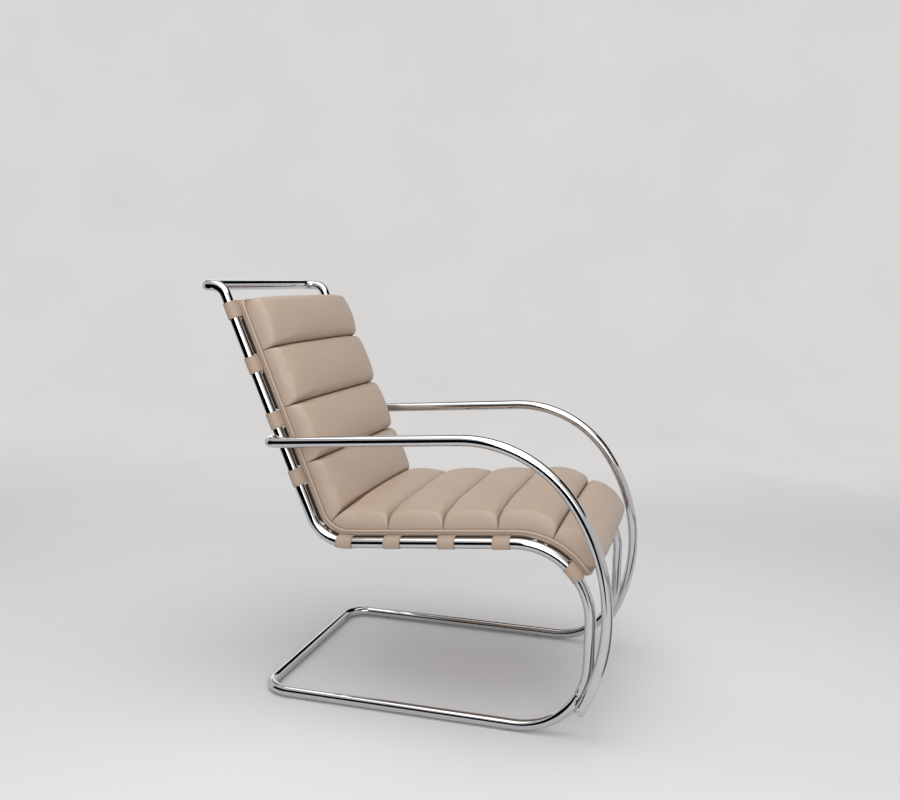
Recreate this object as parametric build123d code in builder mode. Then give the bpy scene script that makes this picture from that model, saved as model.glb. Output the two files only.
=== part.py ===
"""Cantilever lounge chair: bent steel tube, leather belts and a channelled cushion.

Millimetres, +Z up, the front of the chair towards -Y, X = 0 its plane of
symmetry, origin on the floor under the middle of the bounding box.  Side
views are worked out as (f, z): f runs forward from the centre line of the
rear floor crossbar, z up from the floor.
"""
import math
import os

from build123d import *

os.makedirs("parts", exist_ok=True)

# ---------------------------------------------------------------- tube frame
TUBE_OD = 24.0
TUBE_WALL = 2.0
FRAME_HALF = 280.0          # middle of the chair to a side tube's centre line
GLIDE_DROP = 2.0            # the glides hold the tube this far off the floor
RUNNER_LENGTH = 590.0       # rear crossbar to where the front bend starts
BASE_CORNER_R = 60.0
FRONT_LOW_R = 155.0
FRONT_RISE = 90.0           # straight between the two front bends
FRONT_TOP_R = 155.0
SEAT_TILT = 5.3             # degrees, the seat rails rise to the front
SEAT_RAIL = 374.0
SEAT_BEND_R = 85.0
BACK_RAKE = 23.2            # degrees off upright
BACK_RAIL = 530.0
TOP_BEND_R = 32.0
TOP_CORNER_R = 28.0
JOINT_ANGLE = 26.0          # degrees below the front bend's own level

# ------------------------------------------------------------------ arm loop
ARM_GAP = 2.0               # clear space between an arm and the side frame
ARM_TILT = 4.5              # degrees, the arms rise to the front
ARM_TOP_R = 275.0
ARM_TOP_SWEEP = 58.5
ARM_LOW_R = 418.0
ARM_LOW_SWEEP = 64.2
ARM_TIP_LEAD = 142.2        # the arm's free end, ahead of the front bend's centre
ARM_TIP_DROP = 95.1         # and below it
ARM_CORNER_R = 27.0

# ------------------------------------------------------- joints and fastenings
SLEEVE_REACH = 30.0         # sleeve length each side of the joint
SLEEVE_WALL = 3.0
SEAT_FIT = 0.1              # clearance between parts that bear on each other
HOLE_FIT = 0.2              # radial clearance round a screw
SET_SCREW_D = 5.0
SET_SCREW_STEP = 16.0       # joint to the set screw, along the tube
SPACER_D = 14.0
SPACER_ANGLE = 30.0         # degrees below the front bend's own level
SCREW_D = 5.0
SCREW_HEAD_D = 9.5
SCREW_HEAD_H = 3.0
SCREW_BITE = 5.0            # how far a screw stands past the last tube wall
PLUG_H = 5.5
PLUG_EDGE_R = 4.5
PLUG_SHANK = 4.0
STRETCHER_OD = 19.0
STRETCHER_WALL = 1.5
STRETCHER_S = (205.0, 700.0)
GLIDE_LENGTH = 34.0
GLIDE_WIDTH = 13.0
GLIDE_STUD_D = 5.0
GLIDE_STUD_H = 8.0
GLIDE_F = (90.0, 560.0)

# -------------------------------------------------------------------- straps
# Places along the side tube are measured from the start of its front top bend.
STRAP_T = 2.0
STRAP_W = 38.0
STRAP_FIT = 0.3             # clearance between a belt and the tube
STRAP_LOOP = 48.0           # tube centre to where the end meets the belt again
STRAP_TAB = 30.0            # length of the doubled end beyond that
SEAT_STRAPS = (638.0, 526.0, 403.0, 282.0, 114.0)
BACK_STRAPS = (1231.0, 1101.0, 969.0, 833.0)
STUD_D = 9.0
STUD_HEAD_H = 1.6
STUD_PIN_D = 4.0

# ------------------------------------------------------------------- cushion
CUSHION_HALF = 263.0        # middle of the chair to the welt's centre line
LAYER_FIT = 0.3             # clearance between belts, panel, welt and rolls
PANEL_T = 3.8
WELT_D = 6.0
WELT_CORNER_R = 16.0
CUSHION_FRONT = 91.0        # place of the welt along the front edge
SEAT_PITCHES = (101.0, 118.0, 122.0, 127.0, 143.0)    # on the panel, front first
BACK_PITCHES = (146.0, 134.0, 136.0, 118.0)           # on the panel, low first
CHANNEL_H = 33.0            # panel to the sewn channel between two rolls
CROWN_H = 64.0              # panel to the crown of a roll
SHOULDER_SHARE = 0.62       # radius of a roll's shoulder, of its rise over the channel
EDGE_H = 9.0                # height of a roll's end beside the welt
ROLL_END_L = 60.0           # length over which a roll's end is drawn in
ROLL_END_SHARES = (0.0, 0.08, 0.25, 0.55, 1.0)    # places of its sections
ROLL_GAP = 0.4              # half the clearance between two rolls
COVER_T = 1.6               # leather over the filling
FILL_FIT = 0.9              # clearance between the filling and the leather

# ----------------------------------------------------------- derived sizes
TUBE_R = TUBE_OD / 2
BORE_R = TUBE_R - TUBE_WALL
FLOOR_Z = GLIDE_DROP + TUBE_R
LOW_CENTRE = (RUNNER_LENGTH, FLOOR_Z + FRONT_LOW_R)
ARM_HALF = FRAME_HALF + TUBE_OD + ARM_GAP
STRAP_IN = TUBE_R + STRAP_FIT
STRAP_OUT = STRAP_IN + STRAP_T
PANEL_LOW = STRAP_OUT + LAYER_FIT
PANEL_TOP = PANEL_LOW + PANEL_T
WELT_OFF = PANEL_TOP + LAYER_FIT + WELT_D / 2
ROLL_BASE = PANEL_TOP + LAYER_FIT
ROLL_HALF = CUSHION_HALF - WELT_D / 2 - LAYER_FIT
PANEL_HALF = CUSHION_HALF + WELT_D / 2


def polar(centre, radius, degrees):
    """A point of a circle in the side view."""
    a = math.radians(degrees)
    return (centre[0] + radius * math.cos(a), centre[1] + radius * math.sin(a))


class Track:
    """A tube's centre line in the side view, made of straights and bends.

    runs holds ("line", length) and ("bend", radius, degrees), a bend to the
    left being positive.  s is the length along the line, and off a distance
    to the right of it.
    """

    def __init__(self, start, heading, runs):
        self.pieces = []
        point = start
        angle = heading
        s = 0.0
        for run in runs:
            if run[0] == "line":
                length = run[1]
                turn = 0.0
                radius = 0.0
            else:
                radius = run[1]
                turn = run[2]
                length = radius * math.radians(abs(turn))
            self.pieces.append((s, length, point, angle, radius, turn))
            point, angle = self._walk(self.pieces[-1], length, 0.0)
            s += length
        self.length = s
        self.end = point

    @staticmethod
    def _walk(piece, along, off):
        """Point and heading at a distance along one piece."""
        _, length, start, angle, radius, turn = piece
        a = math.radians(angle)
        if turn == 0.0:
            f = start[0] + along * math.cos(a) + off * math.sin(a)
            z = start[1] + along * math.sin(a) - off * math.cos(a)
            return (f, z), angle
        side = math.copysign(1.0, turn)
        centre = (start[0] - side * radius * math.sin(a),
                  start[1] + side * radius * math.cos(a))
        now = angle + turn * along / length
        b = math.radians(now)
        reach = side * radius + off
        return (centre[0] + reach * math.sin(b), centre[1] - reach * math.cos(b)), now

    def _piece(self, s):
        for piece in reversed(self.pieces):
            if s >= piece[0]:
                return piece
        return self.pieces[0]

    def at(self, s, off=0.0):
        piece = self._piece(s)
        return self._walk(piece, s - piece[0], off)[0]

    def heading(self, s):
        piece = self._piece(s)
        return self._walk(piece, s - piece[0], 0.0)[1]

    def spans(self, s0, s1):
        """The straights and bends between two places, as (from, to, bent)."""
        found = []
        for piece in self.pieces:
            low = max(s0, piece[0])
            high = min(s1, piece[0] + piece[1])
            if high - low > 1e-6:
                found.append((low, high, piece[5] != 0.0))
        return found

    def reach(self, s0, distance, off):
        """The place a distance on from s0, measured on the parallel at off."""
        left = distance
        for low, high, bent in self.spans(s0, self.length):
            piece = self._piece((low + high) / 2)
            grow = 1.0 + off / math.copysign(piece[4], piece[5]) if bent else 1.0
            if left <= (high - low) * grow:
                return low + left / grow
            left -= (high - low) * grow
        return self.length


joint_point = polar(LOW_CENTRE, FRONT_LOW_R, -JOINT_ANGLE)
side_line = Track(joint_point, 90.0 - JOINT_ANGLE, [
    ("bend", FRONT_LOW_R, JOINT_ANGLE),
    ("line", FRONT_RISE),
    ("bend", FRONT_TOP_R, 90.0 + SEAT_TILT),
    ("line", SEAT_RAIL),
    ("bend", SEAT_BEND_R, BACK_RAKE - 90.0 - SEAT_TILT),
    ("line", BACK_RAIL),
    ("bend", TOP_BEND_R, 90.0 - BACK_RAKE),
])
TOP_BEND_S = side_line.pieces[2][0]
foot_s, _, foot, _, _, _ = side_line.pieces[5]
base_line = Track((0.0, FLOOR_Z), 0.0, [
    ("line", RUNNER_LENGTH),
    ("bend", FRONT_LOW_R, 90.0 - JOINT_ANGLE),
])
sleeve_line = Track(
    base_line.at(base_line.length - SLEEVE_REACH),
    base_line.heading(base_line.length - SLEEVE_REACH),
    [("bend", FRONT_LOW_R, math.degrees(2 * SLEEVE_REACH / FRONT_LOW_R))])

# The arm's tip stands before the front bend, and the back crosspiece of the
# loop lies behind the uprights.  The straight run and the crosspiece's height
# are what joins the two.
arm_bends = [("bend", ARM_TOP_R, -ARM_TOP_SWEEP), ("bend", ARM_LOW_R, -ARM_LOW_SWEEP)]
arm_curve = Track((0.0, 0.0), ARM_TILT, arm_bends).end
curve_start = (LOW_CENTRE[0] + ARM_TIP_LEAD - arm_curve[0],
               LOW_CENTRE[1] - ARM_TIP_DROP - arm_curve[1])
rake = math.radians(BACK_RAKE)
tilt = math.radians(ARM_TILT)
behind = (TUBE_OD + ARM_GAP) / math.cos(rake)
ARM_RUN = ((curve_start[0] - foot[0] + behind + (curve_start[1] - foot[1]) * math.tan(rake))
           / (math.cos(tilt) + math.sin(tilt) * math.tan(rake)))
ARM_BACK_F = curve_start[0] - ARM_RUN * math.cos(tilt)
ARM_REAR_Z = curve_start[1] - ARM_RUN * math.sin(tilt)
arm_line = Track((ARM_BACK_F, ARM_REAR_Z), ARM_TILT, [("line", ARM_RUN)] + arm_bends)
ARM_FRONT_F = max(arm_line.at(arm_line.length * k / 400.0)[0] for k in range(401))
RAIL_F = side_line.end[0] - TOP_CORNER_R
Y_MIDDLE = (ARM_FRONT_F + RAIL_F) / 2


def place(x, point):
    """A side-view point at x, in the chair's own axes."""
    return Vector(x, Y_MIDDLE - point[0], point[1])


def forward(degrees):
    """Direction of a side-view heading, in the chair's own axes."""
    a = math.radians(degrees)
    return Vector(0, -math.cos(a), math.sin(a))


def section_plane(track, s, x=0.0, off=0.0):
    """The plane across a track: its X is the chair's X, its Y the track's off."""
    return Plane(origin=place(x, track.at(s, off)), x_dir=(1, 0, 0),
                 z_dir=forward(track.heading(s) + 180.0))


def draw(track, s0, s1, x, off=0.0):
    """Draw a stretch of a track as lines and arcs in the open line builder."""
    for low, high, bent in track.spans(s0, s1):
        start = place(x, track.at(low, off))
        end = place(x, track.at(high - 1e-9, off))
        if bent:
            ThreePointArc(start, place(x, track.at((low + high) / 2, off)), end)
        else:
            Line(start, end)


def draw_corner(start, heading, inward, radius):
    """Draw a quarter bend out of a side run, and return its crosswise end."""
    ahead = forward(heading)
    across = Vector(inward, 0, 0)
    centre = start + across * radius
    middle = centre + (ahead - across) * (radius * math.sqrt(0.5))
    end = centre + ahead * radius
    ThreePointArc(start, middle, end)
    return end


def loop_path(track, half, corner_r, corner_first):
    """A side run, a crosspiece and the other side run, as one wire.

    The crosspiece lies at the start of the track, or past its end.
    """
    s0 = corner_r if corner_first else 0.0
    turn_s = s0 if corner_first else track.length
    heading = track.heading(turn_s) + (180.0 if corner_first else 0.0)
    turn = track.at(turn_s)
    with BuildLine() as path:
        draw(track, s0, track.length, -half)
        left = draw_corner(place(-half, turn), heading, 1, corner_r)
        right = draw_corner(place(half, turn), heading, -1, corner_r)
        Line(left, right)
        draw(track, s0, track.length, half)
    return path.wire()


def run_of(path, plane, outer_r, inner_r=0.0):
    """A rod or tube that follows a path, from the plane of its first section."""
    with BuildPart() as run:
        with BuildSketch(plane):
            Circle(outer_r)
            if inner_r:
                Circle(inner_r, mode=Mode.SUBTRACT)
        sweep(path=path)
    return run.part


def rod(start, end, radius):
    """A straight rod between two points."""
    with BuildPart() as bar:
        with BuildSketch(Plane(origin=start, z_dir=(end - start).normalized())):
            Circle(radius)
        extrude(amount=(end - start).length)
    return bar.part


frame_path = loop_path(side_line, FRAME_HALF, TOP_CORNER_R, False)
frame_plane = section_plane(side_line, 0.0, -FRAME_HALF)
base_path = loop_path(base_line, FRAME_HALF, BASE_CORNER_R, True)
base_plane = section_plane(base_line, base_line.length, -FRAME_HALF)
arm_path = loop_path(arm_line, ARM_HALF, ARM_CORNER_R, True)
arm_plane = section_plane(arm_line, arm_line.length, -ARM_HALF)
frame_core = run_of(frame_path, frame_plane, TUBE_R + SEAT_FIT)
base_core = run_of(base_path, base_plane, TUBE_R + SEAT_FIT)
arm_core = run_of(arm_path, arm_plane, TUBE_R + SEAT_FIT)


# ------------------------------------------------ where the fastenings lie
def arm_place(degrees):
    """The place on the arm's lower curve that far below the frame bend's level."""
    low = arm_line.pieces[2][0]
    high = arm_line.length
    for _ in range(50):
        middle = (low + high) / 2
        f, z = arm_line.at(middle)
        if z - LOW_CENTRE[1] > -math.tan(math.radians(degrees)) * (f - LOW_CENTRE[0]):
            low = middle
        else:
            high = middle
    return low


spacer_foot = polar(LOW_CENTRE, FRONT_LOW_R, -SPACER_ANGLE)
spacer_head = arm_line.at(arm_place(SPACER_ANGLE))


def front_axis(side):
    """Frame centre and arm centre of the front fastening on one side."""
    return place(side * FRAME_HALF, spacer_foot), place(side * ARM_HALF, spacer_head)


def rear_axis(side):
    """Crosspiece centre and upright centre of the rear fastening on one side."""
    arm = place(side * FRAME_HALF, (ARM_BACK_F, ARM_REAR_Z))
    return arm, arm + forward(BACK_RAKE) * (TUBE_OD + ARM_GAP)


def screw_ends(axis):
    """Underside of the head and tip of a screw through two tubes."""
    way = (axis[1] - axis[0]).normalized()
    return axis[0] - way * (TUBE_R + SEAT_FIT), axis[1] - way * (BORE_R - SCREW_BITE)


def set_screw_ends(side):
    """Outer face and tip of the screw that holds the sleeve in the upper tube."""
    centre = place(side * FRAME_HALF, side_line.at(SET_SCREW_STEP))
    inward = Vector(-side, 0, 0)
    return centre + inward * TUBE_R, centre + inward * (BORE_R - SLEEVE_WALL - 1.0)


def button_screw(axis):
    """A button-head screw through two tubes."""
    head, tip = screw_ends(axis)
    with BuildPart() as screw:
        add(rod(head, tip, SCREW_D / 2))
        with BuildSketch(Plane(origin=head, z_dir=(head - tip).normalized())):
            Circle(SCREW_HEAD_D / 2)
        extrude(amount=SCREW_HEAD_H, taper=25)
    return screw.part


hole_r = SCREW_D / 2 + HOLE_FIT
front_holes = [rod(*screw_ends(front_axis(side)), hole_r) for side in (-1, 1)]
rear_holes = [rod(*screw_ends(rear_axis(side)), hole_r) for side in (-1, 1)]
set_holes = [rod(*set_screw_ends(side), SET_SCREW_D / 2 + HOLE_FIT) for side in (-1, 1)]

# -------------------------------------------------------------------- tubes
with BuildPart() as upper_frame_tube:
    add(run_of(frame_path, frame_plane, TUBE_R, BORE_R))
    add(rear_holes, mode=Mode.SUBTRACT)
    add(set_holes, mode=Mode.SUBTRACT)
upper_frame_tube.part.label = "upper_frame_tube"
export_step(upper_frame_tube.part, "parts/upper_frame_tube.step")

with BuildPart() as base_tube:
    add(run_of(base_path, base_plane, TUBE_R, BORE_R))
    add(front_holes, mode=Mode.SUBTRACT)
    for side in (-1, 1):
        for glide_f in GLIDE_F:
            low = place(side * FRAME_HALF, (glide_f, 0.0))
            high = place(side * FRAME_HALF, (glide_f, FLOOR_Z))
            add(rod(low, high, GLIDE_STUD_D / 2 + HOLE_FIT), mode=Mode.SUBTRACT)
base_tube.part.label = "base_tube"
export_step(base_tube.part, "parts/base_tube.step")

with BuildPart() as arm_loop_tube:
    add(run_of(arm_path, arm_plane, TUBE_R, BORE_R))
    add(front_holes, mode=Mode.SUBTRACT)
    add(rear_holes, mode=Mode.SUBTRACT)
arm_loop_tube.part.label = "arm_loop_tube"
export_step(arm_loop_tube.part, "parts/arm_loop_tube.step")

# ------------------------------------------------- pieces made once per side
for side, name in ((-1, "left"), (1, "right")):
    with BuildLine() as sleeve_path:
        draw(sleeve_line, 0.0, sleeve_line.length, side * FRAME_HALF)
    sleeve_plane = section_plane(sleeve_line, 0.0, side * FRAME_HALF)
    sleeve_r = BORE_R - SEAT_FIT
    with BuildPart() as joint_sleeve:
        add(run_of(sleeve_path.wire(), sleeve_plane, sleeve_r, BORE_R - SLEEVE_WALL))
        add(front_holes, mode=Mode.SUBTRACT)
        add(set_holes, mode=Mode.SUBTRACT)
    joint_sleeve.part.label = "joint_sleeve_" + name
    export_step(joint_sleeve.part, "parts/joint_sleeve_" + name + ".step")

    with BuildPart() as arm_front_spacer:
        add(rod(*front_axis(side), SPACER_D / 2))
        add(base_core, mode=Mode.SUBTRACT)
        add(frame_core, mode=Mode.SUBTRACT)
        add(arm_core, mode=Mode.SUBTRACT)
        add(front_holes, mode=Mode.SUBTRACT)
    arm_front_spacer.part.label = "arm_front_spacer_" + name
    export_step(arm_front_spacer.part, "parts/arm_front_spacer_" + name + ".step")

    with BuildPart() as arm_rear_saddle:
        add(rod(*rear_axis(side), SPACER_D / 2))
        add(frame_core, mode=Mode.SUBTRACT)
        add(arm_core, mode=Mode.SUBTRACT)
        add(rear_holes, mode=Mode.SUBTRACT)
    arm_rear_saddle.part.label = "arm_rear_saddle_" + name
    export_step(arm_rear_saddle.part, "parts/arm_rear_saddle_" + name + ".step")

    end_plane = Plane(origin=place(side * ARM_HALF, arm_line.end),
                      z_dir=forward(arm_line.heading(arm_line.length)))
    with BuildPart() as arm_end_plug:
        with BuildSketch(end_plane.offset(SEAT_FIT)):
            Circle(TUBE_R)
        extrude(amount=PLUG_H)
        outermost = arm_end_plug.faces().sort_by(Axis(end_plane.origin, end_plane.z_dir))[-1]
        fillet(outermost.edges(), PLUG_EDGE_R)
        with BuildSketch(end_plane.offset(SEAT_FIT)):
            Circle(BORE_R - HOLE_FIT - SEAT_FIT)
        extrude(amount=-PLUG_SHANK)
    arm_end_plug.part.label = "arm_end_plug_" + name
    export_step(arm_end_plug.part, "parts/arm_end_plug_" + name + ".step")

    for glide_f, row in zip(GLIDE_F, ("rear", "front")):
        with BuildPart() as glide:
            with Locations(place(side * FRAME_HALF, (glide_f, 0.0))):
                Box(GLIDE_WIDTH, GLIDE_LENGTH, 3 * GLIDE_DROP,
                    align=(Align.CENTER, Align.CENTER, Align.MIN))
            add(base_core, mode=Mode.SUBTRACT)
            with Locations(place(side * FRAME_HALF, (glide_f, 0.0))):
                Cylinder(GLIDE_STUD_D / 2, GLIDE_STUD_H,
                         align=(Align.CENTER, Align.CENTER, Align.MIN))
        glide.part.label = "glide_" + row + "_" + name
        export_step(glide.part, "parts/glide_" + row + "_" + name + ".step")

# ----------------------------------------------- screws, one group of each
with BuildPart() as arm_front_screws:
    for side in (-1, 1):
        add(button_screw(front_axis(side)))
arm_front_screws.part.label = "arm_front_screws"
export_step(arm_front_screws.part, "parts/arm_front_screws.step")

with BuildPart() as arm_rear_screws:
    for side in (-1, 1):
        add(button_screw(rear_axis(side)))
arm_rear_screws.part.label = "arm_rear_screws"
export_step(arm_rear_screws.part, "parts/arm_rear_screws.step")

with BuildPart() as joint_set_screws:
    for side in (-1, 1):
        add(rod(*set_screw_ends(side), SET_SCREW_D / 2))
joint_set_screws.part.label = "joint_set_screws"
export_step(joint_set_screws.part, "parts/joint_set_screws.step")

# --------------------------------------------------------------- stretchers
for s, name in zip(STRETCHER_S, ("front_stretcher", "rear_stretcher")):
    point = side_line.at(TOP_BEND_S + s)
    across = rod(place(-FRAME_HALF, point), place(FRAME_HALF, point), STRETCHER_OD / 2)
    bore = rod(place(-FRAME_HALF, point), place(FRAME_HALF, point),
               STRETCHER_OD / 2 - STRETCHER_WALL)
    with BuildPart() as stretcher:
        add(across)
        add(bore, mode=Mode.SUBTRACT)
        add(frame_core, mode=Mode.SUBTRACT)
    stretcher.part.label = name
    export_step(stretcher.part, "parts/" + name + ".step")

# -------------------------------------------------------------------- straps
LOOP_ANGLE = 270.0 - 2 * math.degrees(math.atan2(STRAP_IN, STRAP_LOOP))
STUD_X = FRAME_HALF - STRAP_LOOP - STRAP_TAB / 2


def pocket(side):
    """The drop-shaped space that a belt's end leaves round the tube."""
    x = side * FRAME_HALF
    tip = (x - side * STRAP_LOOP, STRAP_IN)
    outside = polar((0.0, 0.0), STRAP_IN, (LOOP_ANGLE - 270.0) / 2)
    low = polar((0.0, 0.0), STRAP_IN, LOOP_ANGLE)
    with BuildSketch() as drop:
        with BuildLine():
            Line(tip, (x, STRAP_IN))
            ThreePointArc((x, STRAP_IN), (x + side * outside[0], outside[1]),
                          (x + side * low[0], low[1]))
            Line((x + side * low[0], low[1]), tip)
        make_face()
    return drop.sketch


def belt(s):
    """A belt over both side tubes, its ends turned round them and sewn back."""
    low = TOP_BEND_S + s - STRAP_W / 2
    with BuildPart() as strap:
        with BuildLine() as along:
            draw(side_line, low, low + STRAP_W, 0.0)
        with BuildSketch(section_plane(side_line, low)):
            add(pocket(-1))
            add(pocket(1))
            offset(amount=STRAP_T)
            with Locations((0.0, STRAP_IN + STRAP_T / 2)):
                Rectangle(2 * FRAME_HALF, STRAP_T)
            with Locations((-STUD_X, STRAP_IN), (STUD_X, STRAP_IN)):
                Rectangle(STRAP_TAB, 2 * STRAP_T)
            add(pocket(-1), mode=Mode.SUBTRACT)
            add(pocket(1), mode=Mode.SUBTRACT)
        sweep(path=along.wire())
    return strap.part


for straps, kind in ((SEAT_STRAPS, "seat_strap_"), (BACK_STRAPS, "back_strap_")):
    for number, s in enumerate(straps, 1):
        with BuildPart() as strap:
            add(belt(s))
            with Locations(section_plane(side_line, TOP_BEND_S + s)):
                with Locations((-STUD_X, STRAP_IN, 0.0), (STUD_X, STRAP_IN, 0.0)):
                    Cylinder(STUD_PIN_D / 2 + HOLE_FIT, 3 * STRAP_T, rotation=(90, 0, 0),
                             mode=Mode.SUBTRACT)
        strap.part.label = kind + str(number)
        export_step(strap.part, "parts/" + kind + str(number) + ".step")

with BuildPart() as strap_studs:
    for s in SEAT_STRAPS + BACK_STRAPS:
        stud_plane = section_plane(side_line, TOP_BEND_S + s)
        for x in (-STUD_X, STUD_X):
            low = stud_plane.from_local_coords(Vector(x, STRAP_IN - STRAP_T - LAYER_FIT, 0))
            high = stud_plane.from_local_coords(Vector(x, STRAP_OUT, 0))
            add(rod(low, high, STUD_PIN_D / 2))
            add(rod(low, low - (high - low).normalized() * STUD_HEAD_H, STUD_D / 2))
strap_studs.part.label = "strap_studs"
export_step(strap_studs.part, "parts/strap_studs.step")

# ------------------------------------------------------- cushion base panel
welt_front = TOP_BEND_S + CUSHION_FRONT
edges = [side_line.reach(welt_front, WELT_D / 2 + LAYER_FIT, ROLL_BASE)]
for pitch in SEAT_PITCHES + BACK_PITCHES:
    edges.append(side_line.reach(edges[-1], pitch, ROLL_BASE))
welt_top = edges[-1] + WELT_D / 2 + LAYER_FIT
panel_ends = (welt_front - WELT_D / 2, welt_top + WELT_D / 2)


with BuildPart() as cushion_base:
    with BuildSketch(Plane(origin=(-PANEL_HALF, Y_MIDDLE, 0), x_dir=(0, -1, 0),
                           z_dir=(-1, 0, 0))):
        with BuildLine():
            for low, high, bent in side_line.spans(*panel_ends):
                for off in (PANEL_LOW, PANEL_TOP):
                    start = side_line.at(low, off)
                    end = side_line.at(high - 1e-9, off)
                    if bent:
                        ThreePointArc(start, side_line.at((low + high) / 2, off), end)
                    else:
                        Line(start, end)
            for s in panel_ends:
                Line(side_line.at(s, PANEL_LOW), side_line.at(s, PANEL_TOP))
        make_face()
    extrude(amount=-2 * PANEL_HALF)
    corners = cushion_base.edges().filter_by(lambda edge: abs(edge.length - PANEL_T) < 0.01)
    fillet(corners, WELT_CORNER_R + WELT_D / 2)
cushion_base.part.label = "cushion_base"
export_step(cushion_base.part, "parts/cushion_base.step")

# --------------------------------------------------------------------- welt
welt_ends = (side_line.reach(welt_front, WELT_CORNER_R, WELT_OFF), welt_top - WELT_CORNER_R)
with BuildLine() as welt_path:
    corners = {}
    for side in (-1, 1):
        draw(side_line, *welt_ends, side * CUSHION_HALF, WELT_OFF)
        for s, turn in zip(welt_ends, (180.0, 0.0)):
            corner = place(side * CUSHION_HALF, side_line.at(s, WELT_OFF))
            heading = side_line.heading(s) + turn
            corners[side, s] = draw_corner(corner, heading, -side, WELT_CORNER_R)
    for s in welt_ends:
        Line(corners[-1, s], corners[1, s])
welt_plane = section_plane(side_line, welt_ends[0], -CUSHION_HALF, WELT_OFF)
with BuildPart() as cushion_welt:
    add(run_of(welt_path.wire(), welt_plane, WELT_D / 2))
cushion_welt.part.label = "cushion_welt"
export_step(cushion_welt.part, "parts/cushion_welt.step")


# -------------------------------------------------------------------- rolls
def roll_section(s0, pitch, drawn, inset):
    """One roll cut across, drawn being 0 at its free end and 1 in full.

    inset is how far the section lies inside the roll's own surface.
    """
    half = pitch / 2 - ROLL_GAP
    channel = EDGE_H / 2 + (CHANNEL_H - EDGE_H / 2) * drawn
    crown = EDGE_H + (CROWN_H - EDGE_H) * drawn
    rise = crown - channel
    shoulder = SHOULDER_SHARE * rise
    run = half - shoulder
    top_r = (run * run + rise * rise - shoulder * shoulder) / (2 * (rise - shoulder))
    lean = math.degrees(math.atan2(top_r - rise, -run))
    foot_h = inset / 2
    left = [(inset, foot_h), (inset, channel)]
    for angle in ((180.0 + lean) / 2, lean):
        left.append(polar((shoulder, channel), shoulder - inset, angle))
    right = [(2 * half - a, h) for a, h in reversed(left)]
    outline = []
    for a, h in left + [(half, crown - inset)] + right:
        s = side_line.reach(s0, a + ROLL_GAP, ROLL_BASE)
        outline.append(side_line.at(s, ROLL_BASE + h))
    foot0 = side_line.reach(s0, inset + ROLL_GAP, ROLL_BASE)
    foot1 = side_line.reach(s0, pitch - inset - ROLL_GAP, ROLL_BASE)
    with BuildSketch() as cut:
        with BuildLine():
            for low, high, bent in side_line.spans(foot0, foot1):
                start = side_line.at(low, ROLL_BASE + foot_h)
                end = side_line.at(high - 1e-9, ROLL_BASE + foot_h)
                if bent:
                    middle = side_line.at((low + high) / 2, ROLL_BASE + foot_h)
                    ThreePointArc(start, middle, end)
                else:
                    Line(start, end)
            Line(outline[0], outline[1])
            ThreePointArc(*outline[1:4])
            ThreePointArc(*outline[3:6])
            ThreePointArc(*outline[5:8])
            Line(outline[7], outline[8])
        make_face()
    return cut.sketch


def side_plane(x):
    """The plane of the side view at x, its axes f and z."""
    return Plane(origin=(x, Y_MIDDLE, 0), x_dir=(0, -1, 0), z_dir=(-1, 0, 0))


def corner_cut(reach):
    """How far the welt's corner pushes back a roll's edge, reach out from the middle."""
    past = max(reach - (ROLL_HALF - WELT_CORNER_R), 0.0)
    return WELT_CORNER_R - math.sqrt(WELT_CORNER_R ** 2 - past ** 2)


def roll_body(s0, pitch, inset):
    """A roll: full in the middle, its ends drawn in towards the welt."""
    full = ROLL_HALF - ROLL_END_L
    with BuildPart() as body:
        with BuildSketch(side_plane(full - inset)):
            add(roll_section(s0, pitch, 1.0, inset))
        extrude(amount=2 * (full - inset))
        for side in (-1, 1):
            for share in ROLL_END_SHARES:
                drawn = math.sqrt(1.0 - (1.0 - share) ** 2)
                reach = ROLL_HALF - ROLL_END_L * share
                cut = corner_cut(reach)
                front = side_line.reach(s0, cut if s0 == edges[0] else 0.0, ROLL_BASE)
                kept = pitch - (cut if s0 in (edges[0], edges[-2]) else 0.0)
                with BuildSketch(side_plane(side * (reach - inset))):
                    add(roll_section(front, kept, drawn, inset))
            loft()
    return body.part


rolls = []
for kind, pitches in (("seat", SEAT_PITCHES), ("back", BACK_PITCHES)):
    for pitch in pitches:
        number = len(rolls) + 1 - (len(SEAT_PITCHES) if kind == "back" else 0)
        rolls.append((kind, number, edges[len(rolls)], pitch))

for kind, number, s0, pitch in rolls:
    with BuildPart() as roll:
        add(roll_body(s0, pitch, 0.0))
        add(roll_body(s0, pitch, COVER_T), mode=Mode.SUBTRACT)
    roll.part.label = kind + "_roll_" + str(number)
    export_step(roll.part, "parts/" + kind + "_roll_" + str(number) + ".step")

    with BuildPart() as fill:
        add(roll_body(s0, pitch, COVER_T + FILL_FIT))
    fill.part.label = kind + "_fill_" + str(number)
    export_step(fill.part, "parts/" + kind + "_fill_" + str(number) + ".step")
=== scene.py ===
"""Cantilever lounge chair: its tubes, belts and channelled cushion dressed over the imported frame.

Lengths are in millimetres until a mesh is made, and in metres in the mesh and on the stage.
Side views are (f, z): f forward from the rear floor crossbar, z up.
"""
import math

import bpy
import numpy as np
from mathutils import Matrix, Vector


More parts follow.
